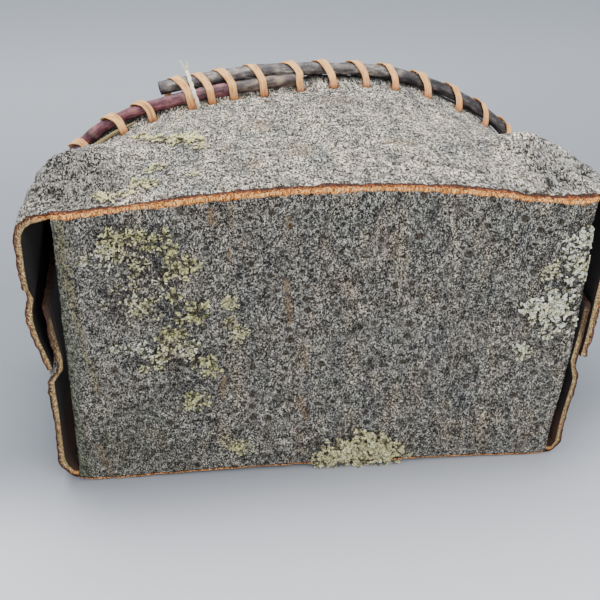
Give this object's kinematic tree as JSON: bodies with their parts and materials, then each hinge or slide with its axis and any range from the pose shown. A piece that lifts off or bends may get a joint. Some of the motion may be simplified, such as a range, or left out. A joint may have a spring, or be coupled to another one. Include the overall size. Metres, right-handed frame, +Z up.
{
  "type": "bark basket",
  "caption": "Folded tree-bark basket lying on its side: flat bottom panel, two folded walls with lapped side flaps, and an oval mouth whipped to a rod hoop.",
  "frame": {"origin": "on the surface that the basket lies on, under the middle of its bounding box", "axes": "+X along the two folds, to the right seen from the bottom panel; +Y from the bottom panel towards the mouth; +Z up, with the basket lying on its side as pictured"},
  "size_m": [0.3522, 0.1842, 0.2114],
  "materials": {
    "bark": "rough grey outer bark with lichens, orange inner bark at the folds and cut edges",
    "rod_bark": "smooth grey-purple twig bark, half matt",
    "splint_wood": "split olive-yellow wood, matt",
    "pale_fibre": "pale dry root fibre, frayed, matt",
    "root_splint": "split orange-tan root, satin"
  },
  "bodies": {
    "root": {"bark_sheet": "bark", "rim_rod": "rod_bark", "rim_splint": "splint_wood", "pale_tie": "pale_fibre", "lashing_a": "root_splint", "lashing_b": "root_splint", "lashing_c": "root_splint", "lashing_d": "root_splint", "lashing_e": "root_splint"}
  },
  "joints": []
}
